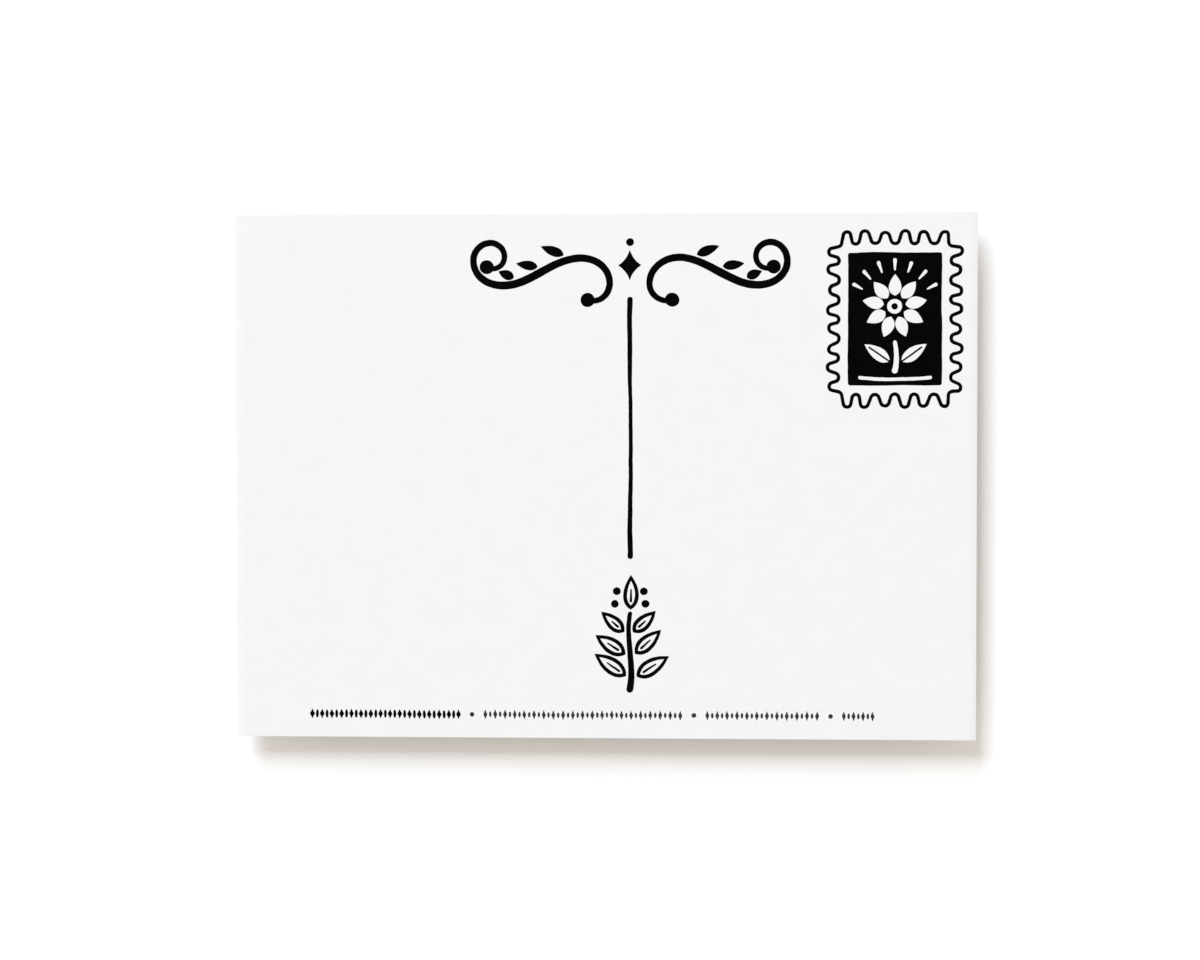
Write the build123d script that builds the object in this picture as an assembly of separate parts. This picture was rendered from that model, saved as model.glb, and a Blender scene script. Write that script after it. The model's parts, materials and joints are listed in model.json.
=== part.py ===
"""A postcard lying flat with its writing side up.

Three plies of white board are bonded face to face. The print is ink that has soaked a little way into both
faces, so each inked shape is a thin film that lies flush in a pocket of its face ply.

Frame: +X runs along the long side, +Y towards the top edge of the writing side, and +Z up. The origin is the
middle of the face that the card lies on. All sizes are millimetres.
"""

import math
import os

from build123d import *

# Board
CARD_WIDTH = 152.4
CARD_HEIGHT = 107.95
FACE_PLY = 0.09
CORE_PLY = 0.20
INK_DEPTH = 0.02

# Pen strokes: how many places along a stroke its two sides are set out at
STROKE_STATIONS = 14
SCROLL_STATIONS = 44

# Divider, an upright line with the slight sway and swell of a hand-drawn one
DIVIDER_TOP_MARGIN = 17.1
DIVIDER_BOTTOM_MARGIN = 37.0
DIVIDER_SWAYS = (0.0, -0.02, 0.12, 0.26, 0.04, 0.06)
DIVIDER_WIDTHS = (1.12, 1.00, 0.77, 0.84, 0.97, 1.12)

# Heading, two mirrored scrolls about a lozenge, in line with the divider and beside the stamp place
HEADING_TOP_MARGIN = 5.1
HEADING_SPAN = 66.1
HEADING_STAMP_GAP = 7.0
HEADING_CENTRE_GAP = 3.2
SCROLL_WIDTHS = (1.12, 1.42, 1.54, 1.74, 1.62, 1.42, 1.26, 1.08)
SCROLL_BALL_RADIUS = 1.45
SCROLL_LEAN = math.radians(-29)
SCROLL_INNER_CURL = 20.0
SCROLL_OUTER_CURL = 26.0
SCROLL_STEPS = 60
SCROLL_LEAF_SHARES = (0.33, 0.43, 0.53)
SCROLL_LEAF_LENGTH_SHARES = (0.17, 0.15, 0.115)
SCROLL_LEAF_BREADTH = 2.0
SCROLL_LEAF_SPLAY = math.radians(38)
SCROLL_LEAF_GAP = 0.42
LOZENGE_WIDTH = 4.7
LOZENGE_HEIGHT = 6.4
LOZENGE_WAIST = 0.40
HEADING_DOT_RADIUS = 0.8
HEADING_DOT_GAP = 0.7

# Sprig, a stem with pairs of outlined leaves, in line with the divider
SPRIG_BOTTOM_MARGIN = 9.5
SPRIG_HEIGHT = 24.6
SPRIG_SWAYS = (0.0, 0.22, -0.18, 0.08)
SPRIG_STEM_WIDTHS = (1.42, 1.22, 1.04, 0.88)
SPRIG_PAIR_SHARES = (0.17, 0.46, 0.75)
SPRIG_LEAF_LENGTHS = (8.0, 7.4, 6.4)
SPRIG_LEAF_BREADTHS = (3.5, 3.3, 3.0)
SPRIG_LEAF_SPLAYS = (math.radians(56), math.radians(52), math.radians(47))
SPRIG_TIP_LENGTH = 7.2
SPRIG_TIP_BREADTH = 3.2
SPRIG_LEAF_GAP = 0.40
SPRIG_LEAF_LINE = 0.80
SPRIG_LEAF_BASE_LINE = 0.92
SPRIG_LEAF_TIP_LINE = 1.20
SPRIG_VEIN_WIDTHS = (0.54, 0.45, 0.32)
SPRIG_VEIN_CLEAR = 0.30
SPRIG_BERRY_RADIUS = 0.80
SPRIG_BERRY_PLACES = ((3.1, 2.0), (2.75, 4.6))

# Leaf outline: how far its two shaping points stand along and across it
LEAF_SHOULDER = (0.18, 0.72)
LEAF_SHANK = (0.62, 0.61)

# Stamp place, a wavy perforated border about a printed panel
STAMP_RIGHT_MARGIN = 2.73
STAMP_TOP_MARGIN = 3.35
STAMP_WIDTH = 28.1
STAMP_HEIGHT = 36.8
STAMP_LINE = 0.73
STAMP_TOOTH_PITCH = 3.92
STAMP_SIDE_TOOTH_DEPTH = 2.10
STAMP_END_TOOTH_DEPTH = 2.50
STAMP_TOOTH_SLANT = 0.36
STAMP_TOOTH_ROUND = 0.85
STAMP_ROUND_CLEAR = 0.05
STAMP_TOOTH_UNEVEN = 0.20
STAMP_TOOTH_SWAY = 0.24
STAMP_UNEVEN_STEP = 2.4
STAMP_UNEVEN_TURN = 1.7
STAMP_CORNER_STEP = 0.45
STAMP_PANEL_WIDTH_MARGIN = 4.5
STAMP_PANEL_HEIGHT_MARGIN = 4.85
STAMP_PANEL_CORNER = 0.5

# Flower knocked out of the stamp panel
FLOWER_TOP_MARGIN = 1.55
FLOWER_PETALS = 9
PETAL_START = 2.2
PETAL_LENGTH = 4.4
PETAL_BREADTH = 2.5
FLOWER_DISC_RADIUS = 1.5
FLOWER_EYE_RADIUS = 0.65
FLOWER_RAYS = 7
RAY_GAP = 0.9
RAY_LENGTH = 1.9
RAY_WIDTHS = (0.35, 0.75)
RAY_SIDE_MARGIN = 1.25
FLOWER_STEM_GAP = 0.7
FLOWER_STEM_WIDTHS = (0.8, 0.95, 1.15)
FLOWER_STEM_SWAY = 0.35
FLOWER_LEAF_LENGTH = 6.2
FLOWER_LEAF_BREADTH = 2.6
FLOWER_LEAF_SPLAY = math.radians(56)
FLOWER_LEAF_RISE = 1.9
FLOWER_LEAF_GAP = 0.45
FLOWER_LEAF_VEIN = 0.36
GROUND_MARGIN = 1.6
GROUND_LINE = 0.7
GROUND_SIDE = 2.4
GROUND_GAP = 0.5
GROUND_SAG = 0.35

# Foot line, runs of small upright lozenges and seeds with bullets between the runs, the first run bolder
FOOTER_LEFT_MARGIN = 15.2
FOOTER_RIGHT_MARGIN = 20.65
FOOTER_BOTTOM_MARGIN = 4.8
FOOTER_RUNS = (31.4, 41.0, 23.4, 6.7)
FOOTER_MARK_HEIGHT = 2.1
FOOTER_MARK_WIDTH = 0.85
FOOTER_MARK_WAIST = 0.47
FOOTER_MARK_PITCH = 2.05
FOOTER_SEED_WIDTH = 0.52
FOOTER_SEED_HEIGHT = 1.15
FOOTER_BOLD_MARK_WIDTH = 1.05
FOOTER_BOLD_SEED_WIDTH = 0.62
FOOTER_BOLD_SEED_HEIGHT = 1.75
FOOTER_BULLET_RADIUS = 0.48
FOOTER_BULLET_CLEAR = 1.85

# Picture side, fields under a crescent and stars inside a keyline
PICTURE_MARGIN = 8.1
PICTURE_CORNER = 1.2
KEYLINE = 0.45
KEYLINE_GAP = 1.3
FIELD_HEIGHTS = (9.6, 8.4, 7.2, 6.0, 5.0, 4.2)
FIELD_GAP = 1.1
FIELD_SWELL = 2.4
FIELD_WAVES = 1.35
FIELD_LAG = 1.1
FIELD_STATIONS = 11
MOON_RADIUS = 9.0
MOON_BITE_RADIUS = 7.6
MOON_BITE_SHIFT = 3.8
MOON_FROM_SIDE = 34.0
STAR_RADII = (1.7, 1.1, 1.4, 0.9, 1.6, 1.0, 1.3)
STAR_WAIST = 0.34
STAR_SIDE_SHARES = (0.08, 0.19, 0.31, 0.42, 0.52, 0.60, 0.92)
STAR_RISE_SHARES = (0.70, 0.42, 0.82, 0.55, 0.80, 0.40, 0.78)

# Places worked out from the sizes above
CARD_THICKNESS = CORE_PLY + 2 * FACE_PLY
CARD_LEFT = -CARD_WIDTH / 2
CARD_RIGHT = CARD_WIDTH / 2
CARD_TOP = CARD_HEIGHT / 2
CARD_BOTTOM = -CARD_HEIGHT / 2
PICTURE_WIDTH = CARD_WIDTH - 2 * PICTURE_MARGIN
PICTURE_HEIGHT = CARD_HEIGHT - 2 * PICTURE_MARGIN

# The border's foot line runs along the bottom of its notches, and its teeth stand out from that
STAMP_SIDE_REACH = STAMP_SIDE_TOOTH_DEPTH + STAMP_TOOTH_UNEVEN + STAMP_LINE / 2
STAMP_END_REACH = STAMP_END_TOOTH_DEPTH + STAMP_TOOTH_UNEVEN + STAMP_LINE / 2
STAMP_FOOT_WIDTH = STAMP_WIDTH - 2 * STAMP_SIDE_REACH
STAMP_FOOT_HEIGHT = STAMP_HEIGHT - 2 * STAMP_END_REACH
STAMP_X = CARD_RIGHT - STAMP_RIGHT_MARGIN - STAMP_WIDTH / 2
STAMP_Y = CARD_TOP - STAMP_TOP_MARGIN - STAMP_HEIGHT / 2
PANEL_WIDTH = STAMP_WIDTH - 2 * STAMP_PANEL_WIDTH_MARGIN
PANEL_HEIGHT = STAMP_HEIGHT - 2 * STAMP_PANEL_HEIGHT_MARGIN
FLOWER_REACH = PETAL_START + PETAL_LENGTH
RAY_REACH = FLOWER_REACH + RAY_GAP + RAY_LENGTH
FLOWER_RISE = PANEL_HEIGHT / 2 - FLOWER_TOP_MARGIN - RAY_REACH

# The divider stands under the middle of the heading, whose right end keeps clear of the stamp
DIVIDER_X = STAMP_X - STAMP_WIDTH / 2 - HEADING_STAMP_GAP - HEADING_SPAN / 2
SCROLL_SPAN = HEADING_SPAN / 2 - HEADING_CENTRE_GAP


def spread(values, share):
    """The value a share of the way, from 0 to 1, through values that are spaced evenly."""
    place = share * (len(values) - 1)
    index = min(int(place), len(values) - 2)
    rest = place - index
    return values[index] * (1 - rest) + values[index + 1] * rest


def pen_stroke(points, widths, stations=STROKE_STATIONS):
    """One pen stroke: a smooth line through the points, with the widths spread along it and round ends."""
    line = Spline(*points)
    left = []
    right = []
    for k in range(stations):
        share = k / (stations - 1)
        ahead = line % share
        across = Vector(-ahead.Y, ahead.X) * (spread(widths, share) / 2)
        left.append((line @ share) + across)
        right.append((line @ share) - across)
    start_tip = (line @ 0) - (line % 0) * (widths[0] / 2)
    end_tip = (line @ 1) + (line % 1) * (widths[-1] / 2)
    return make_face([
        Spline(*left),
        ThreePointArc(left[-1], end_tip, right[-1]),
        Spline(*reversed(right)),
        ThreePointArc(right[0], start_tip, left[0]),
    ])


def leaf(length, breadth):
    """A leaf from its base at the origin to its tip along +X, widest before its middle."""
    side = [
        (0, 0),
        (LEAF_SHOULDER[0] * length, LEAF_SHOULDER[1] * breadth),
        (LEAF_SHANK[0] * length, LEAF_SHANK[1] * breadth),
        (length, 0),
    ]
    upper = Bezier(*side)
    lower = Bezier(*[(x, -y) for x, y in reversed(side)])
    return make_face([upper, lower])


def hollow_waisted(points, waist):
    """A four-cornered figure whose sides bend in towards its middle, down to a share of the straight side."""
    sides = []
    for start, end in zip(points, points[1:] + points[:1]):
        middle = ((start[0] + end[0]) * waist, (start[1] + end[1]) * waist)
        sides.append(ThreePointArc(start, middle, end))
    return make_face(sides)


def lozenge(width, height, waist):
    """A lozenge with hollow sides, centred on the origin."""
    return hollow_waisted([(width / 2, 0), (0, height / 2), (-width / 2, 0), (0, -height / 2)], waist)


def placed(shape, point, angle=0.0):
    """The shape turned by an angle in radians and moved so that its origin is at the point."""
    return Pos(point[0], point[1]) * Rot(0, 0, math.degrees(angle)) * shape


def flipped(point):
    """The point on the other side of the divider's line."""
    return (2 * DIVIDER_X - point[0], point[1])


def writing_film(faces):
    """Ink that fills the faces, flush with the writing side."""
    return [extrude(Pos(0, 0, CARD_THICKNESS - INK_DEPTH) * face, amount=INK_DEPTH) for face in faces]


def picture_film(faces):
    """Ink that fills the faces, flush with the picture side."""
    return [extrude(face, amount=INK_DEPTH) for face in faces]


def divider_line():
    """The upright line between the message and the address."""
    top = CARD_TOP - DIVIDER_TOP_MARGIN - DIVIDER_WIDTHS[0] / 2
    bottom = CARD_BOTTOM + DIVIDER_BOTTOM_MARGIN + DIVIDER_WIDTHS[-1] / 2
    points = []
    for k, sway in enumerate(DIVIDER_SWAYS):
        share = k / (len(DIVIDER_SWAYS) - 1)
        points.append((DIVIDER_X + sway, top + (bottom - top) * share))
    return [pen_stroke(points, DIVIDER_WIDTHS)]


def scroll_line():
    """Middle line of the right-hand scroll, whose curvature runs evenly from one curl into the other."""
    turn = SCROLL_INNER_CURL + SCROLL_OUTER_CURL
    first_heading = SCROLL_LEAN + SCROLL_INNER_CURL ** 2 / (2 * turn)
    x = 0.0
    y = 0.0
    raw = []
    for k in range(SCROLL_STEPS):
        share = (k + 0.5) / SCROLL_STEPS
        heading = first_heading - SCROLL_INNER_CURL * share + turn * share ** 2 / 2
        x += math.cos(heading)
        y += math.sin(heading)
        raw.append((x, y))
    low = min(x for x, y in raw)
    high = max(x for x, y in raw)
    peak = max(y for x, y in raw)
    pen = max(SCROLL_WIDTHS) / 2
    scale = (SCROLL_SPAN - 2 * pen) / (high - low)
    left = DIVIDER_X + HEADING_CENTRE_GAP + pen
    top = CARD_TOP - HEADING_TOP_MARGIN - pen
    return [(left + (x - low) * scale, top + (y - peak) * scale) for x, y in raw]


def scroll(points):
    """A scroll with a ball at both of its ends."""
    stroke = pen_stroke(points, SCROLL_WIDTHS, SCROLL_STATIONS)
    for end in (points[0], points[-1]):
        stroke += placed(Circle(SCROLL_BALL_RADIUS), end)
    return stroke


def scroll_leaves(points, side):
    """Small leaves that spring from the outer bend of a scroll."""
    line = Spline(*points)
    faces = []
    for share, length_share in zip(SCROLL_LEAF_SHARES, SCROLL_LEAF_LENGTH_SHARES):
        ahead = line % share
        clear = spread(SCROLL_WIDTHS, share) / 2 + SCROLL_LEAF_GAP
        base = (line @ share) + Vector(-ahead.Y, ahead.X) * (side * clear)
        angle = math.atan2(ahead.Y, ahead.X) + side * SCROLL_LEAF_SPLAY
        faces.append(placed(leaf(SCROLL_SPAN * length_share, SCROLL_LEAF_BREADTH), (base.X, base.Y), angle))
    return faces


def heading_dot():
    """The dot at the top of the heading, between the scrolls."""
    y = CARD_TOP - HEADING_TOP_MARGIN - HEADING_DOT_RADIUS
    return [placed(Circle(HEADING_DOT_RADIUS), (DIVIDER_X, y))]


def heading_lozenge():
    """The lozenge under the dot."""
    drop = HEADING_TOP_MARGIN + 2 * HEADING_DOT_RADIUS + HEADING_DOT_GAP + LOZENGE_HEIGHT / 2
    return [placed(lozenge(LOZENGE_WIDTH, LOZENGE_HEIGHT, LOZENGE_WAIST), (DIVIDER_X, CARD_TOP - drop))]


def sprig_line():
    """Middle line of the sprig's stem, from the ground up."""
    foot = CARD_BOTTOM + SPRIG_BOTTOM_MARGIN + SPRIG_STEM_WIDTHS[0] / 2
    length = SPRIG_HEIGHT - SPRIG_TIP_LENGTH - SPRIG_LEAF_GAP - SPRIG_STEM_WIDTHS[0]
    points = []
    for k, sway in enumerate(SPRIG_SWAYS):
        share = k / (len(SPRIG_SWAYS) - 1)
        points.append((DIVIDER_X + sway, foot + length * share))
    return points


def sprig_leaf_places():
    """Base point, direction, length and breadth of each leaf of the sprig."""
    points = sprig_line()
    line = Spline(*points)
    places = []
    rows = zip(SPRIG_PAIR_SHARES, SPRIG_LEAF_LENGTHS, SPRIG_LEAF_BREADTHS, SPRIG_LEAF_SPLAYS)
    for share, length, breadth, splay in rows:
        ahead = line % share
        clear = spread(SPRIG_STEM_WIDTHS, share) / 2 + SPRIG_LEAF_GAP
        for side in (1, -1):
            base = (line @ share) + Vector(-ahead.Y, ahead.X) * (side * clear)
            angle = math.atan2(ahead.Y, ahead.X) + side * splay
            places.append(((base.X, base.Y), angle, length, breadth))
    tip = (line @ 1) + (line % 1) * (SPRIG_STEM_WIDTHS[-1] / 2 + SPRIG_LEAF_GAP)
    places.append(((tip.X, tip.Y), math.radians(90), SPRIG_TIP_LENGTH, SPRIG_TIP_BREADTH))
    return places


def sprig_leaf_outlines():
    """The drawn edge of each leaf."""
    faces = []
    for point, angle, length, breadth in sprig_leaf_places():
        inner = leaf(length - SPRIG_LEAF_BASE_LINE - SPRIG_LEAF_TIP_LINE, breadth - 2 * SPRIG_LEAF_LINE)
        ring = leaf(length, breadth) - Pos(SPRIG_LEAF_BASE_LINE, 0) * inner
        faces.append(placed(ring, point, angle))
    return faces


def sprig_leaf_veins():
    """A vein down the middle of each leaf, clear of its drawn edge."""
    faces = []
    for point, angle, length, breadth in sprig_leaf_places():
        start = SPRIG_LEAF_BASE_LINE + SPRIG_VEIN_CLEAR + SPRIG_VEIN_WIDTHS[0]
        end = length - SPRIG_LEAF_TIP_LINE - SPRIG_VEIN_CLEAR - breadth / 2
        vein = pen_stroke([(start, 0), ((start + end) / 2, 0), (end, 0)], SPRIG_VEIN_WIDTHS)
        faces.append(placed(vein, point, angle))
    return faces


def sprig_berries():
    """Berries on both sides of the leaf at the tip."""
    foot = sprig_line()[-1]
    faces = []
    for across, up in SPRIG_BERRY_PLACES:
        for side in (1, -1):
            faces.append(placed(Circle(SPRIG_BERRY_RADIUS), (foot[0] + side * across, foot[1] + up)))
    return faces


def perforation_points():
    """Corners of the border's middle line: rows of slanted, uneven teeth that step in at each corner."""
    sides = [
        (STAMP_FOOT_WIDTH, STAMP_FOOT_HEIGHT, STAMP_END_TOOTH_DEPTH),
        (STAMP_FOOT_HEIGHT, STAMP_FOOT_WIDTH, STAMP_SIDE_TOOTH_DEPTH),
    ]
    points = []
    for quarter in range(4):
        run, rise, depth = sides[quarter % 2]
        room = run - 2 * STAMP_CORNER_STEP
        count = round(room / STAMP_TOOTH_PITCH + 0.5)
        tooth = room / (2 * count - 1)
        foot = rise / 2
        for k in range(count):
            near = -run / 2 + STAMP_CORNER_STEP + 2 * k * tooth
            far = near + tooth
            phase = STAMP_UNEVEN_STEP * k + STAMP_UNEVEN_TURN * quarter
            crest = foot + depth + STAMP_TOOTH_UNEVEN * math.sin(phase)
            sway = STAMP_TOOTH_SWAY * math.cos(phase)
            row = [(near + STAMP_TOOTH_SLANT + sway, crest), (far - STAMP_TOOTH_SLANT + sway, crest)]
            if k > 0:
                row.insert(0, (near - STAMP_TOOTH_SLANT, foot))
            if k < count - 1:
                row.append((far + STAMP_TOOTH_SLANT, foot))
            else:
                row.append((far, foot - STAMP_CORNER_STEP))
            points += [turned(point, quarter) for point in row]
    return points


def turned(point, quarter):
    """The point after so many quarter turns clockwise about the origin."""
    x, y = point
    for _ in range(quarter):
        x, y = y, -x
    return (x, y)


def corner_rounds(points):
    """Radius at each corner of a closed line, limited so that a short straight is left between rounds."""
    corners = [Vector(*point) for point in points]
    rounds = []
    for before, corner, after in zip(corners[-1:] + corners[:-1], corners, corners[1:] + corners[:1]):
        half_turn = math.radians((corner - before).get_angle(after - corner)) / 2
        room = (min((corner - before).length, (after - corner).length) - STAMP_ROUND_CLEAR) / 2
        rounds.append(min(STAMP_TOOTH_ROUND, room / math.tan(half_turn)))
    return rounds


def stamp_border():
    """The wavy perforated line round the stamp place."""
    points = perforation_points()
    line = make_face(FilletPolyline(*points, radius=corner_rounds(points), close=True))
    ring = offset(line, STAMP_LINE / 2) - offset(line, -STAMP_LINE / 2)
    return [placed(ring, (STAMP_X, STAMP_Y))]


def flower_cuts():
    """Bare shapes of the flower in the panel's own frame: petals, disc, rays, stem and leaves."""
    middle = (0, FLOWER_RISE)
    cuts = [placed(Circle(FLOWER_DISC_RADIUS), middle)]
    for k in range(FLOWER_PETALS):
        angle = math.radians(90) + 2 * math.pi * k / FLOWER_PETALS
        petal = Pos(PETAL_START, 0) * leaf(PETAL_LENGTH, PETAL_BREADTH)
        cuts.append(placed(petal, middle, angle))
    fan = 2 * math.asin(min(1, (PANEL_WIDTH / 2 - RAY_SIDE_MARGIN) / RAY_REACH))
    for k in range(FLOWER_RAYS):
        angle = math.radians(90) + fan * (k / (FLOWER_RAYS - 1) - 0.5)
        start = FLOWER_REACH + RAY_GAP
        ray = pen_stroke([(start, 0), ((start + RAY_REACH) / 2, 0), (RAY_REACH, 0)], RAY_WIDTHS)
        cuts.append(placed(ray, middle, angle))
    ground = -PANEL_HEIGHT / 2 + GROUND_MARGIN
    head = FLOWER_RISE - FLOWER_REACH - FLOWER_STEM_GAP
    foot = ground + GROUND_LINE / 2 + GROUND_GAP + FLOWER_STEM_WIDTHS[-1] / 2
    cuts.append(pen_stroke([(0, head), (FLOWER_STEM_SWAY, (head + foot) / 2), (0, foot)], FLOWER_STEM_WIDTHS))
    for side in (1, -1):
        across = side * (max(FLOWER_STEM_WIDTHS) / 2 + FLOWER_LEAF_GAP + max(0, side) * FLOWER_STEM_SWAY)
        vein = Pos(FLOWER_LEAF_LENGTH / 3, 0) * Rectangle(FLOWER_LEAF_LENGTH, FLOWER_LEAF_VEIN)
        blade = leaf(FLOWER_LEAF_LENGTH, FLOWER_LEAF_BREADTH) - vein
        angle = math.radians(90) - side * FLOWER_LEAF_SPLAY
        cuts.append(placed(blade, (across, foot + FLOWER_LEAF_RISE), angle))
    half = PANEL_WIDTH / 2 - GROUND_SIDE
    cuts.append(pen_stroke(
        [(-half, ground), (0, ground - GROUND_SAG), (half, ground)], (GROUND_LINE, GROUND_LINE)))
    return cuts


def stamp_panel():
    """The printed panel inside the border, with the flower left bare."""
    panel = RectangleRounded(PANEL_WIDTH, PANEL_HEIGHT, STAMP_PANEL_CORNER)
    for cut in flower_cuts():
        panel -= cut
    return [placed(panel, (STAMP_X, STAMP_Y))]


def stamp_flower_eye():
    """The dot in the middle of the flower."""
    return [placed(Circle(FLOWER_EYE_RADIUS), (STAMP_X, STAMP_Y + FLOWER_RISE))]


def footer_layout():
    """Left and right end of each run of marks, and the middle of each bullet."""
    gap = 2 * (FOOTER_BULLET_CLEAR + FOOTER_BULLET_RADIUS)
    room = CARD_WIDTH - FOOTER_LEFT_MARGIN - FOOTER_RIGHT_MARGIN - gap * (len(FOOTER_RUNS) - 1)
    x = CARD_LEFT + FOOTER_LEFT_MARGIN
    runs = []
    bullets = []
    for share in FOOTER_RUNS:
        length = room * share / sum(FOOTER_RUNS)
        runs.append((x, x + length))
        bullets.append(x + length + gap / 2)
        x += length + gap
    return runs, bullets[:-1]


def footer_marks(runs, mark_width, seed_width, seed_height):
    """Lozenges that fill each run from end to end, with a seed between neighbours."""
    y = CARD_BOTTOM + FOOTER_BOTTOM_MARGIN
    faces = []
    for left, right in runs:
        room = right - left - mark_width
        count = round(room / FOOTER_MARK_PITCH)
        step = room / count
        for k in range(count + 1):
            x = left + mark_width / 2 + k * step
            faces.append(placed(lozenge(mark_width, FOOTER_MARK_HEIGHT, FOOTER_MARK_WAIST), (x, y)))
            if k < count:
                seed = Ellipse(seed_width / 2, seed_height / 2)
                faces.append(placed(seed, (x + step / 2, y)))
    return faces


def footer_bullets(places):
    """A bullet between neighbouring runs."""
    y = CARD_BOTTOM + FOOTER_BOTTOM_MARGIN
    return [placed(Circle(FOOTER_BULLET_RADIUS), (x, y)) for x in places]


def field_crests():
    """Mean height of the upper edge of each field, from the nearest one up."""
    y = -PICTURE_HEIGHT / 2
    crests = []
    for height in FIELD_HEIGHTS:
        y += height
        crests.append(y)
        y += FIELD_GAP
    return crests


def field_edge(y, row):
    """A rolling line across the picture at a mean height, each row a little out of step with the last."""
    points = []
    for k in range(FIELD_STATIONS):
        share = k / (FIELD_STATIONS - 1)
        swell = FIELD_SWELL * math.sin(2 * math.pi * FIELD_WAVES * share + FIELD_LAG * row)
        points.append((PICTURE_WIDTH * (share - 0.5), y + swell))
    return Spline(*points)


def band(lower, upper):
    """The face between two lines that cross the picture."""
    return make_face([lower, Line(lower @ 1, upper @ 1), upper, Line(upper @ 0, lower @ 0)])


def picture_panel():
    """The whole printed area of the picture side."""
    return RectangleRounded(PICTURE_WIDTH, PICTURE_HEIGHT, PICTURE_CORNER)


def picture_fields():
    """Rolling fields, from the foot of the picture to the skyline."""
    crests = field_crests()
    half = PICTURE_WIDTH / 2
    base = -PICTURE_HEIGHT / 2
    faces = []
    for row, crest in enumerate(crests):
        if row == 0:
            lower = Line((-half, base), (half, base))
        else:
            lower = field_edge(crests[row - 1] + FIELD_GAP, row - 1)
        faces.append(band(lower, field_edge(crest, row)))
    faces[0] = faces[0] & picture_panel()
    return faces


def picture_sky():
    """The sky above the fields, with a crescent and stars left bare."""
    half = PICTURE_WIDTH / 2
    top = PICTURE_HEIGHT / 2
    skyline = field_crests()[-1] + FIELD_GAP
    sky = band(field_edge(skyline, len(FIELD_HEIGHTS) - 1), Line((-half, top), (half, top))) & picture_panel()
    moon = (-half + MOON_FROM_SIDE, (skyline + top) / 2)
    bite = (moon[0] + MOON_BITE_SHIFT, moon[1] + MOON_BITE_SHIFT / 2)
    sky -= placed(Circle(MOON_RADIUS), moon) - placed(Circle(MOON_BITE_RADIUS), bite)
    for radius, side, rise in zip(STAR_RADII, STAR_SIDE_SHARES, STAR_RISE_SHARES):
        star = lozenge(2 * radius, 2 * radius, STAR_WAIST)
        sky -= placed(star, (half - PICTURE_WIDTH * side, skyline + (top - skyline) * rise))
    return [sky]


def picture_keyline():
    """The thin line that frames the picture."""
    inner = RectangleRounded(
        PICTURE_WIDTH + 2 * KEYLINE_GAP, PICTURE_HEIGHT + 2 * KEYLINE_GAP, PICTURE_CORNER + KEYLINE_GAP)
    reach = KEYLINE_GAP + KEYLINE
    outer = RectangleRounded(PICTURE_WIDTH + 2 * reach, PICTURE_HEIGHT + 2 * reach, PICTURE_CORNER + reach)
    return [outer - inner]


def ply(thickness, level):
    """A sheet of the card's outline, lying at a level."""
    return Pos(0, 0, level) * extrude(Rectangle(CARD_WIDTH, CARD_HEIGHT), amount=thickness)


def inked(sheet, films):
    """The sheet with a pocket for each film of ink."""
    for solids in films.values():
        sheet -= solids
    return sheet


right_line = scroll_line()
left_line = [flipped(point) for point in right_line]
runs, bullets = footer_layout()

writing_ink = {
    "heading_left_scroll": writing_film([scroll(left_line)]),
    "heading_right_scroll": writing_film([scroll(right_line)]),
    "heading_leaves": writing_film(scroll_leaves(right_line, 1) + scroll_leaves(left_line, -1)),
    "heading_lozenge": writing_film(heading_lozenge()),
    "heading_dot": writing_film(heading_dot()),
    "divider_line": writing_film(divider_line()),
    "sprig_stem": writing_film([pen_stroke(sprig_line(), SPRIG_STEM_WIDTHS)]),
    "sprig_leaf_outlines": writing_film(sprig_leaf_outlines()),
    "sprig_leaf_veins": writing_film(sprig_leaf_veins()),
    "sprig_berries": writing_film(sprig_berries()),
    "stamp_border": writing_film(stamp_border()),
    "stamp_panel": writing_film(stamp_panel()),
    "stamp_flower_eye": writing_film(stamp_flower_eye()),
    "footer_dark_marks": writing_film(footer_marks(
        runs[:1], FOOTER_BOLD_MARK_WIDTH, FOOTER_BOLD_SEED_WIDTH, FOOTER_BOLD_SEED_HEIGHT)),
    "footer_grey_marks": writing_film(footer_marks(
        runs[1:], FOOTER_MARK_WIDTH, FOOTER_SEED_WIDTH, FOOTER_SEED_HEIGHT)),
    "footer_bullets": writing_film(footer_bullets(bullets)),
}
picture_ink = {
    "picture_keyline": picture_film(picture_keyline()),
    "picture_sky": picture_film(picture_sky()),
    "picture_fields": picture_film(picture_fields()),
}
nodes = {
    "picture_ply": [inked(ply(FACE_PLY, 0), picture_ink)],
    "core_ply": [ply(CORE_PLY, FACE_PLY)],
    "writing_ply": [inked(ply(FACE_PLY, FACE_PLY + CORE_PLY), writing_ink)],
    **writing_ink,
    **picture_ink,
}

os.makedirs("parts", exist_ok=True)
for name, pieces in nodes.items():
    solids = [solid for piece in pieces for solid in piece.solids()]
    export_step(Compound(children=solids), os.path.join("parts", name + ".step"))
    print(name, len(solids), "solids")
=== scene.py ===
# %% [markdown]
# # A postcard, writing side up
# The real object is a guillotined piece of white board with print on both of its faces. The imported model
# holds its true sizes already: three bonded plies, and each inked shape as a thin film in a pocket of its
# face ply. This lesson keeps those sizes and places, and gives each piece the surface that a hand and an eye
# would find on it: the tooth of uncoated board, the rolled rim of a guillotine cut, and ink that has crept a
# little along the fibres.

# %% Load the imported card
import json
import math

import bpy
from mathutils import Euler, Matrix, Vector


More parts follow.
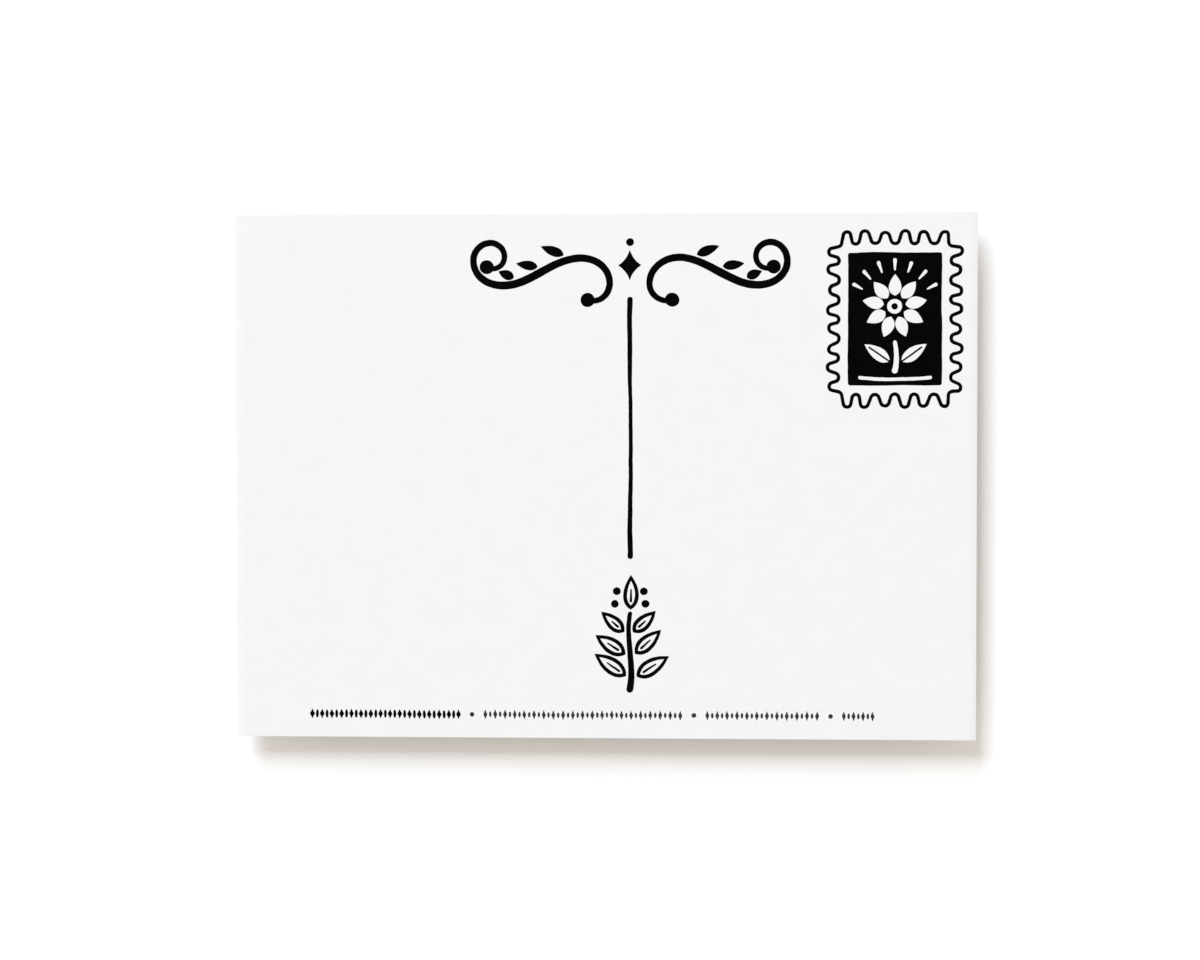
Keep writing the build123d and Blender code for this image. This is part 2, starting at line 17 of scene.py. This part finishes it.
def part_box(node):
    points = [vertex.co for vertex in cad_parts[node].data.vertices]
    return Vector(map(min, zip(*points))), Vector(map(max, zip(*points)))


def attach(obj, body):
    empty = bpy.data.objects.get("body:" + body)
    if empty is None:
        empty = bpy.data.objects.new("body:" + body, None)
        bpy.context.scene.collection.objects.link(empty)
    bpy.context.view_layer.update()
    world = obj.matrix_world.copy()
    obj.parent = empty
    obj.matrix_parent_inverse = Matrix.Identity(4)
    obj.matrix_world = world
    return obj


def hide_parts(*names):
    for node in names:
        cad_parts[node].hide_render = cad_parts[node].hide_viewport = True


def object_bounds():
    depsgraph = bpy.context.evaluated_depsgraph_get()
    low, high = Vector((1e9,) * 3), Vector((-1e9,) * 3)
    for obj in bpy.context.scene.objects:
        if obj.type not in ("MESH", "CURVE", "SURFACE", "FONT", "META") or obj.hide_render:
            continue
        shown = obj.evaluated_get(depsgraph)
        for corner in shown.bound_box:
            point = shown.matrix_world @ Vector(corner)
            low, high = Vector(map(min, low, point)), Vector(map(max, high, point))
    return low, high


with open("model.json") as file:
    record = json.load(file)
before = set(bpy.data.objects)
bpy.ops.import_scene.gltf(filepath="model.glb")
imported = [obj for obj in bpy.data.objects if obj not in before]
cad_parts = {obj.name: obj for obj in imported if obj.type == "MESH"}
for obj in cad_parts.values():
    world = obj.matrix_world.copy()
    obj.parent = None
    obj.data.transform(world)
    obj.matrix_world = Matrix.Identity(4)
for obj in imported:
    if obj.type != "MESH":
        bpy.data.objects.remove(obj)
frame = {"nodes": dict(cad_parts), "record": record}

MM = 0.001
card_low, card_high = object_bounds()
print("card", [round(side / MM, 3) for side in card_high - card_low], "mm,", len(frame["nodes"]), "nodes")

# %% [markdown]
# ## The camera
# The card was photographed from almost straight above. A camera could be turned by hand until a render looks
# right, but the four corners of a flat rectangle of known size fix it exactly: only one tilt and one distance
# bring all four back to where the photograph has them. That solution is written here, with the lens that goes
# with it.

# %% Place the camera
LENS = 72.0
SENSOR = 36.0

# The card as the lens sees it: its turn in degrees, and the middle of its face
CARD_TURN = (1.51, -2.74, -0.06)
CARD_FROM_LENS = Vector((0.8, 0.7, -493.3)) * MM

card_to_lens = Euler([math.radians(angle) for angle in CARD_TURN]).to_matrix()
lens_to_card = card_to_lens.transposed()
middle_of_face = Vector((0, 0, card_high.z))
lens_place = Matrix.Translation(middle_of_face - lens_to_card @ CARD_FROM_LENS)
camera = bpy.data.objects.new("copy_camera", bpy.data.cameras.new("copy_camera"))
camera.data.lens = LENS
camera.data.sensor_width = SENSOR
camera.matrix_world = lens_place @ lens_to_card.to_4x4()
bpy.context.scene.collection.objects.link(camera)
bpy.context.scene.camera = camera
print("camera at", [round(value / MM, 1) for value in camera.matrix_world.translation], "mm")

# %% [markdown]
# ## Nodes and colours
# Materials and Geometry Nodes are both trees of nodes, so one small function can add a node to either: it
# sets the node's own settings first, because they decide which sockets it has, and then gives each socket a
# value or a link. Colours are written as the sRGB hex values that a paint chart would give, and turned to the
# linear light that Blender works in.

# %% One function to add a node, and one to read a colour
def add(tree, kind, sockets=None, **settings):
    """Add a node to a tree, with its settings, and a value or a link for each socket that is given."""
    node = tree.nodes.new(kind)
    for name, value in settings.items():
        setattr(node, name, value)
    for name, value in (sockets or {}).items():
        if isinstance(value, bpy.types.NodeSocket):
            tree.links.new(value, node.inputs[name])
        else:
            node.inputs[name].default_value = value
    return node


def linear(hex_colour):
    """The linear RGBA of an sRGB hex colour, by the formula of the sRGB standard."""
    channels = []
    for start in (0, 2, 4):
        value = int(hex_colour[start:start + 2], 16) / 255
        channels.append(value / 12.92 if value <= 0.04045 else ((value + 0.055) / 1.055) ** 2.4)
    return (*channels, 1.0)


print("sRGB grey 808080 is", round(linear("808080")[0], 3), "of white in linear light")

# %% [markdown]
# ## Uncoated white board
# The face of this board is fibre with no clay coating. It is very white and quite matt. A close look finds a
# faint grain that runs along the sheet, where the fibres lay down on the moving wire, soft clouds where the
# pulp is a little thicker, and a fine tooth. A flat white would look like plastic, so two near whites are
# mixed by the grain and the clouds, and a bump stands for the tooth. The mesh of the sheet carries the grain
# as real relief as well.

# %% Board faces
GRAIN_LENGTH = 3.5 * MM
GRAIN_BREADTH = 0.55 * MM
CLOUD = 5.0 * MM
TOOTH = 0.22 * MM
TOOTH_DEPTH = 0.004 * MM

# The values of a noise lie on both sides of this one
NOISE_MEAN = 0.5

# A Mix node has sockets of several kinds under the same names, so its colours are picked by their places
RGBA_A, RGBA_B, RGBA_RESULT = 6, 7, 2


def new_material(name, shine):
    """A material with one Principled shader, its tree, that shader and the piece's own coordinates."""
    material = bpy.data.materials.new(name)
    material.use_nodes = True
    tree = material.node_tree
    shader = tree.nodes["Principled BSDF"]
    shader.inputs["Specular IOR Level"].default_value = shine
    return material, tree, shader, add(tree, "ShaderNodeTexCoord").outputs["Object"]


def uncoated_board(name, light, shade):
    """Bare board: matt, near white, with a faint grain along X, soft clouds and a fine tooth."""
    material, tree, shader, place = new_material(name, shine=0.12)
    stretch = (1 / GRAIN_LENGTH, 1 / GRAIN_BREADTH, 1 / GRAIN_BREADTH)
    along = add(tree, "ShaderNodeVectorMath", {0: place, 1: stretch}, operation="MULTIPLY")
    grain = add(tree, "ShaderNodeTexNoise", {"Vector": along.outputs[0], "Scale": 1.0, "Detail": 2.0})
    clouds = add(tree, "ShaderNodeTexNoise", {"Vector": place, "Scale": 1 / CLOUD, "Detail": 1.0})
    tooth = add(tree, "ShaderNodeTexNoise", {"Vector": place, "Scale": 1 / TOOTH, "Detail": 2.0})
    both = add(tree, "ShaderNodeMath", {0: grain.outputs[0], 1: clouds.outputs[0]}, operation="ADD")
    share = add(tree, "ShaderNodeMath", operation="SUBTRACT", use_clamp=True, sockets={
        0: both.outputs[0], 1: NOISE_MEAN})
    colour = add(tree, "ShaderNodeMix", data_type="RGBA", sockets={
        0: share.outputs[0], RGBA_A: linear(shade), RGBA_B: linear(light)})
    bump = add(tree, "ShaderNodeBump", {"Height": tooth.outputs[0], "Distance": TOOTH_DEPTH})
    shader.inputs["Roughness"].default_value = 0.85
    tree.links.new(colour.outputs[RGBA_RESULT], shader.inputs["Base Color"])
    tree.links.new(bump.outputs["Normal"], shader.inputs["Normal"])
    return material


# Wood-free board, pressed but not coated: to the eye an even, soft white with no gloss at any angle
white_board = uncoated_board("uncoated_white_board", light="ebebeb", shade="e7e7e7")
print("made", white_board.name)

# %% [markdown]
# ## Cut board
# A guillotine shears the board, so its edge shows the ends of the fibres in thin layers, a little greyer than
# the face because light gets lost between them. Noise that is stretched along the edge and squeezed across
# the thickness gives those layers on all four sides, whichever way they run, where stripes would need a
# direction for each side.

# %% Cut edges
LAYER = 0.022 * MM
LAYER_LENGTH = 0.7 * MM
LAYER_DEPTH = 0.006 * MM


def cut_board(name, light, shade):
    """The sheared edge of board: layers of fibre ends, a little greyer than its face."""
    material, tree, shader, place = new_material(name, shine=0.08)
    stretch = (1 / LAYER_LENGTH, 1 / LAYER_LENGTH, 1 / LAYER)
    across = add(tree, "ShaderNodeVectorMath", {0: place, 1: stretch}, operation="MULTIPLY")
    layers = add(tree, "ShaderNodeTexNoise", {"Vector": across.outputs[0], "Scale": 1.0, "Detail": 3.0})
    colour = add(tree, "ShaderNodeMix", data_type="RGBA", sockets={
        0: layers.outputs[0], RGBA_A: linear(shade), RGBA_B: linear(light)})
    bump = add(tree, "ShaderNodeBump", {"Height": layers.outputs[0], "Distance": LAYER_DEPTH})
    shader.inputs["Roughness"].default_value = 0.9
    tree.links.new(colour.outputs[RGBA_RESULT], shader.inputs["Base Color"])
    tree.links.new(bump.outputs["Normal"], shader.inputs["Normal"])
    return material


# Sheared fibre ends: to the eye a dull, finely streaked edge, with the core a shade warmer than the faces
face_edge = cut_board("cut_white_board", light="e8e7e5", shade="d0cfcb")
core_edge = cut_board("cut_board_core", light="e3e1db", shade="c3c0b8")
print("made", face_edge.name, "and", core_edge.name)

# %% [markdown]
# ## Ink
# The ink has soaked into the board and dried matt. It isn't an even film: it lies thinner on the crests of
# the tooth, where a trace of fibre greys it, so its colour and roughness vary on the scale of the fibres. One
# function makes both inks, the full black of the drawing and the greyer ink of the small foot line.

# %% Black and grey ink
FIBRE = 0.16 * MM
BLOT = 1.6 * MM
SMOOTHEST_INK = 0.55
ROUGHEST_INK = 0.8


def soaked_ink(name, deep, thin):
    """Ink soaked into board: matt and dark, a little greyer on the crests of the tooth."""
    material, tree, shader, place = new_material(name, shine=0.02)
    fibres = add(tree, "ShaderNodeTexNoise", {"Vector": place, "Scale": 1 / FIBRE, "Detail": 2.0})
    blots = add(tree, "ShaderNodeTexNoise", {"Vector": place, "Scale": 1 / BLOT, "Detail": 1.0})
    thinness = add(tree, "ShaderNodeMath", operation="MULTIPLY", sockets={
        0: fibres.outputs[0], 1: blots.outputs[0]})
    colour = add(tree, "ShaderNodeMix", data_type="RGBA", sockets={
        0: thinness.outputs[0], RGBA_A: linear(deep), RGBA_B: linear(thin)})
    rough = add(tree, "ShaderNodeMapRange", {
        "Value": fibres.outputs[0], "To Min": SMOOTHEST_INK, "To Max": ROUGHEST_INK})
    bump = add(tree, "ShaderNodeBump", {"Height": fibres.outputs[0], "Distance": TOOTH_DEPTH})
    tree.links.new(colour.outputs[RGBA_RESULT], shader.inputs["Base Color"])
    tree.links.new(rough.outputs[0], shader.inputs["Roughness"])
    tree.links.new(bump.outputs["Normal"], shader.inputs["Normal"])
    return material


# Ink dried in the fibres: to the eye a deep, dead black, and a grey that reads as lighter print
black_ink = soaked_ink("soaked_black_ink", deep="010101", thin="0b0b0b")
grey_ink = soaked_ink("soaked_grey_ink", deep="2e2e2e", thin="4a4a4a")
print("made", black_ink.name, "and", grey_ink.name)

# %% [markdown]
# ## From a node tree to a plain piece
# A Geometry Nodes tree is a recipe with named inputs. It is put on an object as a modifier, its inputs are
# set by the identifiers of their sockets, and the finished mesh is taken out of the evaluated object, so that
# the piece that stays has no modifier left on it.

# %% Helpers for recipes
def new_recipe(name, inputs):
    """An empty Geometry Nodes tree with named inputs, those inputs, and the socket for its result."""
    tree = bpy.data.node_groups.new(name, "GeometryNodeTree")
    for label, kind in inputs.items():
        tree.interface.new_socket(label, in_out="INPUT", socket_type="NodeSocket" + kind)
    tree.interface.new_socket("Piece", in_out="OUTPUT", socket_type="NodeSocketGeometry")
    given = add(tree, "NodeGroupInput").outputs
    return tree, given, add(tree, "NodeGroupOutput").inputs["Piece"]


def follow(tree, name, start, values):
    """The piece that a recipe makes from a start mesh, as a plain mesh at the origin."""
    piece = bpy.data.objects.new(name, start)
    bpy.context.scene.collection.objects.link(piece)
    modifier = piece.modifiers.new(tree.name, "NODES")
    modifier.node_group = tree
    for item in tree.interface.items_tree:
        if item.name in values:
            modifier[item.identifier] = values[item.name]
    finished = piece.evaluated_get(bpy.context.evaluated_depsgraph_get())
    mesh = bpy.data.meshes.new_from_object(finished)
    piece.modifiers.remove(modifier)
    piece.data = mesh
    mesh.name = name
    return piece


def settle(piece, node, slot):
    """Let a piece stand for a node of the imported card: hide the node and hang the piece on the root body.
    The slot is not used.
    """
    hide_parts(node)
    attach(piece, "root")
    print(piece.name, len(piece.data.polygons), "faces")


print("helpers", [helper.__name__ for helper in (new_recipe, follow, settle)])

# %% [markdown]
# ## Guillotined sheets
# Each ply is a sheet cut square. Its outer face has the relief of the grain, a few thousandths of a
# millimetre deep, and the blade has rolled the rim over a little. A box with bevelled edges would be close,
# but it has no relief, so the recipe starts from a fine grid that is as large as the flat of the face, and
# lifts it by stretched noise. A vector node can multiply and add at once, so sizes that act along an axis are
# given as vectors.

# %% Recipe for a sheet: the face
SHEET_INPUTS = {
    "Start": "Geometry", "Flat Width": "Float", "Flat Height": "Float", "Columns": "Int", "Rows": "Int",
    "Grain": "Vector", "Seed": "Float", "Relief": "Vector", "To Front": "Vector", "Rim Growth": "Vector",
    "Rim Drop": "Vector", "To Back": "Vector", "Face": "Material", "Cut": "Material"}

tree, given, result = new_recipe("guillotined_sheet", SHEET_INPUTS)
grid = add(tree, "GeometryNodeMeshGrid", {
    "Size X": given["Flat Width"], "Size Y": given["Flat Height"],
    "Vertices X": given["Columns"], "Vertices Y": given["Rows"]})
place = add(tree, "GeometryNodeInputPosition").outputs[0]
along = add(tree, "ShaderNodeVectorMath", {0: place, 1: given["Grain"]}, operation="MULTIPLY")
grain = add(tree, "ShaderNodeTexNoise", noise_dimensions="4D", sockets={
    "Vector": along.outputs[0], "W": given["Seed"], "Scale": 1.0, "Detail": 1.0})
lift = add(tree, "ShaderNodeVectorMath", operation="MULTIPLY_ADD", sockets={
    0: grain.outputs[0], 1: given["Relief"], 2: given["To Front"]})
sheet = add(tree, "GeometryNodeSetPosition", {
    "Geometry": grid.outputs["Mesh"], "Offset": lift.outputs[0]}).outputs[0]
print("face recipe of", len(tree.nodes), "nodes")

# %% [markdown]
# The rim comes next. An edge with only one face beside it is on the rim. Those edges are drawn out in steps
# that follow a quarter round, each a little wider and lower than the last, and then once more straight down
# to the back.

# %% Recipe for a sheet: the rolled rim and the wall
ROLL_STEPS = 2
QUARTER = math.radians(90)
SAME_SIZE = (1.0, 1.0, 1.0)
WITHOUT_HEIGHT = (1.0, 1.0, 0.0)

# A Compare node, too, has sockets of several kinds under the same names
INT_A, INT_B = 2, 3

faces_beside = add(tree, "GeometryNodeInputMeshEdgeNeighbors").outputs["Face Count"]
rim = add(tree, "FunctionNodeCompare", data_type="INT", operation="EQUAL", sockets={
    INT_A: faces_beside, INT_B: 1}).outputs[0]
for step in range(ROLL_STEPS):
    near = QUARTER * step / ROLL_STEPS
    far = QUARTER * (step + 1) / ROLL_STEPS
    growth = math.sin(far) - math.sin(near)
    drop = math.cos(near) - math.cos(far)
    ring = add(tree, "GeometryNodeExtrudeMesh", mode="EDGES", sockets={
        "Mesh": sheet, "Selection": rim, "Offset Scale": 0.0})
    rim = ring.outputs["Top"]
    wider = add(tree, "ShaderNodeVectorMath", operation="MULTIPLY_ADD", sockets={
        0: given["Rim Growth"], 1: (growth, growth, 0.0), 2: SAME_SIZE})
    lower = add(tree, "ShaderNodeVectorMath", {0: given["Rim Drop"], "Scale": drop}, operation="SCALE")
    rolled = add(tree, "ShaderNodeVectorMath", operation="MULTIPLY_ADD", sockets={
        0: place, 1: wider.outputs[0], 2: lower.outputs[0]})
    sheet = add(tree, "GeometryNodeSetPosition", {
        "Geometry": ring.outputs["Mesh"], "Selection": rim, "Position": rolled.outputs[0]}).outputs[0]

wall = add(tree, "GeometryNodeExtrudeMesh", mode="EDGES", sockets={
    "Mesh": sheet, "Selection": rim, "Offset Scale": 0.0})
foot = wall.outputs["Top"]
level = add(tree, "ShaderNodeVectorMath", operation="MULTIPLY_ADD", sockets={
    0: place, 1: WITHOUT_HEIGHT, 2: given["To Back"]})
sheet = add(tree, "GeometryNodeSetPosition", {
    "Geometry": wall.outputs["Mesh"], "Selection": foot, "Position": level.outputs[0]}).outputs[0]
print("rim recipe of", len(tree.nodes), "nodes so far")

# %% [markdown]
# Last comes the back. The foot of the wall is a closed outline, so it can be filled, which takes far fewer
# faces than a second grid would. Its faces are turned to look outwards and its rim is merged with the wall's.
# Faces that stand more upright than level get the finish of the cut.

# %% Recipe for a sheet: the back and the finishes
MERGE = 0.0002 * MM
UPRIGHT_BELOW = 0.5

outline = add(tree, "GeometryNodeMeshToCurve", {"Mesh": sheet, "Selection": foot})
back = add(tree, "GeometryNodeFillCurve", {"Curve": outline.outputs[0]}, mode="TRIANGLES")
back = add(tree, "GeometryNodeFlipFaces", {"Mesh": back.outputs[0]})
back = add(tree, "GeometryNodeSetPosition", {"Geometry": back.outputs[0], "Offset": given["To Back"]})
closed = add(tree, "GeometryNodeJoinGeometry", {"Geometry": sheet})
tree.links.new(back.outputs[0], closed.inputs["Geometry"])
closed = add(tree, "GeometryNodeMergeByDistance", {"Geometry": closed.outputs[0], "Distance": MERGE})
closed = add(tree, "GeometryNodeRealizeInstances", {"Geometry": closed.outputs[0]})
faced = add(tree, "GeometryNodeSetMaterial", {"Geometry": closed.outputs[0], "Material": given["Face"]})
normal = add(tree, "GeometryNodeInputNormal").outputs[0]
facing = add(tree, "ShaderNodeVectorMath", {0: normal}, operation="ABSOLUTE")
flatness = add(tree, "ShaderNodeSeparateXYZ", {0: facing.outputs[0]}).outputs["Z"]
upright = add(tree, "FunctionNodeCompare", {0: flatness, 1: UPRIGHT_BELOW}, operation="LESS_THAN")
edged = add(tree, "GeometryNodeSetMaterial", {
    "Geometry": faced.outputs[0], "Selection": upright.outputs[0], "Material": given["Cut"]})
tree.links.new(edged.outputs[0], result)
guillotined_sheet = tree
print("recipe", tree.name, "of", len(tree.nodes), "nodes")

# %% [markdown]
# ## The three plies
# Print stands a hundredth of a millimetre proud of the board, so the two outer faces lie that much below the
# ink. The steps of a face's grid are short only across the grain, where the relief changes quickly. The core
# is bonded on both of its faces and shows only its edge: it needs no relief, and a coarse grid is enough. The
# picture ply is made with its face up like the others and then turned over.

# %% Cut the sheets
INK_STAND = 0.010 * MM
ROLL = 0.030 * MM
CORE_ROLL = 0.010 * MM
RELIEF = 0.006 * MM
FACE_STEPS = (1.7 * MM, 0.13 * MM)
CORE_STEPS = (4.0 * MM, 4.0 * MM)
SMOOTH_BELOW = math.radians(50)
TURN_OVER = Matrix.Rotation(math.pi, 4, "X")


def cut_sheet(name, node, slot, steps, edge, roll, relief, inset, seed, turned=False):
    """A ply of the card, cut to the size of its node, with its outer face set back by the inset."""
    low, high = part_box(node)
    front, back = (-low.z - inset, -high.z) if turned else (high.z - inset, low.z)
    width, height = [side - 2 * roll for side in (high - low).xy]
    columns, rows = [round(side / step) + 1 for side, step in zip((width, height), steps)]
    sheet = follow(guillotined_sheet, name, bpy.data.meshes.new(name), {
        "Flat Width": width, "Flat Height": height, "Columns": columns, "Rows": rows,
        "Grain": (1 / GRAIN_LENGTH, 1 / GRAIN_BREADTH, 0.0), "Seed": seed,
        "Relief": (0.0, 0.0, relief), "To Front": (0.0, 0.0, front - relief / 2),
        "Rim Growth": (2 * roll / width, 2 * roll / height, 0.0), "Rim Drop": (0.0, 0.0, -roll),
        "To Back": (0.0, 0.0, back), "Face": white_board, "Cut": edge})
    if turned:
        sheet.data.transform(TURN_OVER)
    sheet.data.shade_smooth()
    sheet.data.set_sharp_from_angle(angle=SMOOTH_BELOW)
    settle(sheet, node, slot)


cut_sheet("writing_sheet", "writing_ply", "white_board", FACE_STEPS, face_edge, ROLL, RELIEF,
          inset=INK_STAND, seed=3.0)
cut_sheet("core_sheet", "core_ply", "board_core", CORE_STEPS, core_edge, CORE_ROLL, relief=0.0,
          inset=0.0, seed=3.0)
cut_sheet("picture_sheet", "picture_ply", "white_board", FACE_STEPS, face_edge, ROLL, RELIEF,
          inset=INK_STAND, seed=4.0, turned=True)

# %% [markdown]
# ## Inked shapes
# A drawn line is never quite the line that was meant: the hand sways over a few millimetres, and the ink
# creeps along the fibres by a few hundredths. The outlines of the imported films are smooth, so the recipe
# takes the outline of each film, walks round it in even steps, sways every point by two soft noises and fills
# the outline again as a closed film. Both noises are fields in space, so neighbouring shapes sway together
# and the gaps between them stay open.

# %% Recipe for an ink film
FILM_INPUTS = {
    "Film": "Geometry", "Step": "Float", "Sway": "Float", "Sway Scale": "Float", "Creep": "Float",
    "Creep Scale": "Float", "Seed": "Float", "Depth": "Float", "To Foot": "Vector", "Ink": "Material"}
UPWARD_ABOVE = 0.5
NOISE_MIDDLE = (NOISE_MEAN, NOISE_MEAN, NOISE_MEAN)

tree, given, result = new_recipe("ink_film", FILM_INPUTS)
joined = add(tree, "GeometryNodeMergeByDistance", {"Geometry": given["Film"], "Distance": MERGE})
normal = add(tree, "GeometryNodeInputNormal").outputs[0]
facing = add(tree, "ShaderNodeSeparateXYZ", {0: normal}).outputs["Z"]
not_up = add(tree, "FunctionNodeCompare", {0: facing, 1: UPWARD_ABOVE}, operation="LESS_THAN")
top = add(tree, "GeometryNodeDeleteGeometry", domain="FACE", sockets={
    "Geometry": joined.outputs[0], "Selection": not_up.outputs[0]})
faces_beside = add(tree, "GeometryNodeInputMeshEdgeNeighbors").outputs["Face Count"]
rim = add(tree, "FunctionNodeCompare", data_type="INT", operation="EQUAL", sockets={
    INT_A: faces_beside, INT_B: 1})
outline = add(tree, "GeometryNodeMeshToCurve", {"Mesh": top.outputs[0], "Selection": rim.outputs[0]})
line = add(tree, "GeometryNodeResampleCurve", mode="LENGTH", sockets={
    "Curve": outline.outputs[0], "Length": given["Step"]}).outputs[0]
place = add(tree, "GeometryNodeInputPosition").outputs[0]
for reach in ("Sway", "Creep"):
    field = add(tree, "ShaderNodeTexNoise", noise_dimensions="4D", sockets={
        "Vector": place, "W": given["Seed"], "Scale": given[reach + " Scale"], "Detail": 0.0})
    swing = add(tree, "ShaderNodeVectorMath", operation="SUBTRACT", sockets={
        0: field.outputs["Color"], 1: NOISE_MIDDLE})
    offset = add(tree, "ShaderNodeVectorMath", operation="SCALE", sockets={
        0: swing.outputs[0], "Scale": given[reach]})
    line = add(tree, "GeometryNodeSetPosition", {"Geometry": line, "Offset": offset.outputs[0]}).outputs[0]
under = add(tree, "GeometryNodeFillCurve", {"Curve": line}, mode="TRIANGLES")
over = add(tree, "GeometryNodeExtrudeMesh", {
    "Mesh": under.outputs[0], "Offset Scale": given["Depth"], "Individual": False})
under = add(tree, "GeometryNodeFlipFaces", {"Mesh": under.outputs[0]})
film = add(tree, "GeometryNodeJoinGeometry", {"Geometry": over.outputs["Mesh"]})
tree.links.new(under.outputs[0], film.inputs["Geometry"])
film = add(tree, "GeometryNodeMergeByDistance", {"Geometry": film.outputs[0], "Distance": MERGE})
film = add(tree, "GeometryNodeSetPosition", {"Geometry": film.outputs[0], "Offset": given["To Foot"]})
film = add(tree, "GeometryNodeRealizeInstances", {"Geometry": film.outputs[0]})
film = add(tree, "GeometryNodeSetMaterial", {"Geometry": film.outputs[0], "Material": given["Ink"]})
tree.links.new(film.outputs[0], result)
ink_film = tree
print("recipe", tree.name, "of", len(tree.nodes), "nodes")

# %% [markdown]
# The record says which slot each node belongs to, so the print needs no list of its own: every node in an ink
# slot gets a film. A film bites a little into the board, so that no gap shows under its rim where the grain
# dips. Noise seldom strays far from its middle, so the sway and the creep are multiplied up to what they
# should reach.

# %% Print both sides
INK_BITE = 0.004 * MM
INK_STEP = 0.12 * MM
SWAY = 0.10 * MM
SWAY_LENGTH = 6.0 * MM
CREEP = 0.03 * MM
CREEP_LENGTH = 0.9 * MM
NOISE_SWING = 3.0
INK_SEED = 11.0

slot_of = {part["node"]: part["material_slot"] for part in frame["record"]["subparts"]}
inks = {"black_ink": black_ink, "grey_ink": grey_ink}
depth = INK_STAND + INK_BITE
for node, slot in slot_of.items():
    if slot not in inks:
        continue
    low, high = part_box(node)
    foot = low.z if node.startswith("picture") else high.z - depth
    film = follow(ink_film, node + "_ink", frame["nodes"][node].data.copy(), {
        "Step": INK_STEP, "Sway": NOISE_SWING * SWAY, "Sway Scale": 1 / SWAY_LENGTH,
        "Creep": NOISE_SWING * CREEP, "Creep Scale": 1 / CREEP_LENGTH, "Seed": INK_SEED,
        "Depth": depth, "To Foot": (0.0, 0.0, foot), "Ink": inks[slot]})
    settle(film, node, slot)

# %% [markdown]
# ## The floor
# The card was photographed a few millimetres above a white surface, which is why its shadow stands off its
# right and bottom edges. The floor here is a matt white sheet with a low rise in the middle, well inside the
# card's outline, so that the card has something to rest on and its shadow still falls on the lower level. Its
# corners lie on three rings: the edge of the sheet, the foot of the rise and the top of the rise.

# %% Lay the floor
CARD_LIFT = 5.0 * MM
RISE_INSET = 26.0 * MM
FLOOR_HALF = 4.0
FLOOR_CLOUD = 60 * MM
CORNERS = [(-1, -1), (1, -1), (1, 1), (-1, 1)]


def backdrop_paper(name, light, shade):
    """Matt white backdrop paper, with clouds that are only just there."""
    material, tree, shader, place = new_material(name, shine=0.05)
    clouds = add(tree, "ShaderNodeTexNoise", {"Vector": place, "Scale": 1 / FLOOR_CLOUD, "Detail": 2.0})
    colour = add(tree, "ShaderNodeMix", data_type="RGBA", sockets={
        0: clouds.outputs[0], RGBA_A: linear(shade), RGBA_B: linear(light)})
    shader.inputs["Roughness"].default_value = 0.95
    tree.links.new(colour.outputs[RGBA_RESULT], shader.inputs["Base Color"])
    return material


rise_x = card_high.x - RISE_INSET
rise_y = card_high.y - RISE_INSET
rings = [(FLOOR_HALF, FLOOR_HALF, -CARD_LIFT), (rise_x, rise_y, -CARD_LIFT), (rise_x, rise_y, 0.0)]
points = [(x * half_x, y * half_y, z) for half_x, half_y, z in rings for x, y in CORNERS]
ring_starts = range(0, len(points), len(CORNERS))
faces = [tuple(range(ring_starts[-1], len(points)))]
for outer, inner in zip(ring_starts, ring_starts[1:]):
    for corner in range(len(CORNERS)):
        after = (corner + 1) % len(CORNERS)
        faces.append((outer + corner, outer + after, inner + after, inner + corner))
floor_mesh = bpy.data.meshes.new("backdrop_floor")
floor_mesh.from_pydata(points, [], faces)
# Plain paper from a roll: to the eye a clean white with no sheen, on which only the shadow shows
floor_mesh.materials.append(backdrop_paper("matt_white_backdrop_paper", light="fefefe", shade="fdfdfd"))
floor = bpy.data.objects.new("backdrop_floor", floor_mesh)
bpy.context.scene.collection.objects.link(floor)
print("floor", CARD_LIFT / MM, "mm below the card")

# %% [markdown]
# ## Light
# The shadow says where the light was: from a card that is 5 mm up it falls 1 to 5 mm to the right and 3 mm or
# more down, dark at first and then with a long fading tail. A lamp would give it one even rim. A large panel
# that lies level overhead, beyond the top of the picture and to its left, gives that tail by itself: its near
# end is high and strong and sets the dark part, and its far end is low and weak and draws the shadow out. The
# shadow is only about half as bright as the floor round it, so the room gives some more light than the panel
# does. The room alone lights the shadow, which looks slightly warm, so the room's light is warm and the
# panel's is cool, and together they are white.

# %% Skylight and room
SKYLIGHT_MIDDLE = Vector((-3.7, 10.0, 6.0))
SKYLIGHT_WIDTH = 5.0
SKYLIGHT_LENGTH = 12.0
SKYLIGHT_POWER = 2090.0
SKYLIGHT_COLOUR = "e5f1ff"
ROOM_STRENGTH = 1.04
ROOM_COLOUR = "d9d2c9"

skylight = bpy.data.objects.new("skylight", bpy.data.lights.new("skylight", "AREA"))
skylight.data.shape = "RECTANGLE"
skylight.data.size = SKYLIGHT_WIDTH
skylight.data.size_y = SKYLIGHT_LENGTH
skylight.data.energy = SKYLIGHT_POWER
skylight.data.color = linear(SKYLIGHT_COLOUR)[:3]
skylight.location = SKYLIGHT_MIDDLE
skylight.visible_camera = False
bpy.context.scene.collection.objects.link(skylight)

room = bpy.data.worlds.new("room")
room.use_nodes = True
background = room.node_tree.nodes["Background"]
background.inputs["Color"].default_value = linear(ROOM_COLOUR)
background.inputs["Strength"].default_value = ROOM_STRENGTH
bpy.context.scene.world = room
bpy.context.scene.view_settings.view_transform = "Standard"
print("skylight of", SKYLIGHT_WIDTH, "by", SKYLIGHT_LENGTH, "m,", SKYLIGHT_MIDDLE.z, "m up")
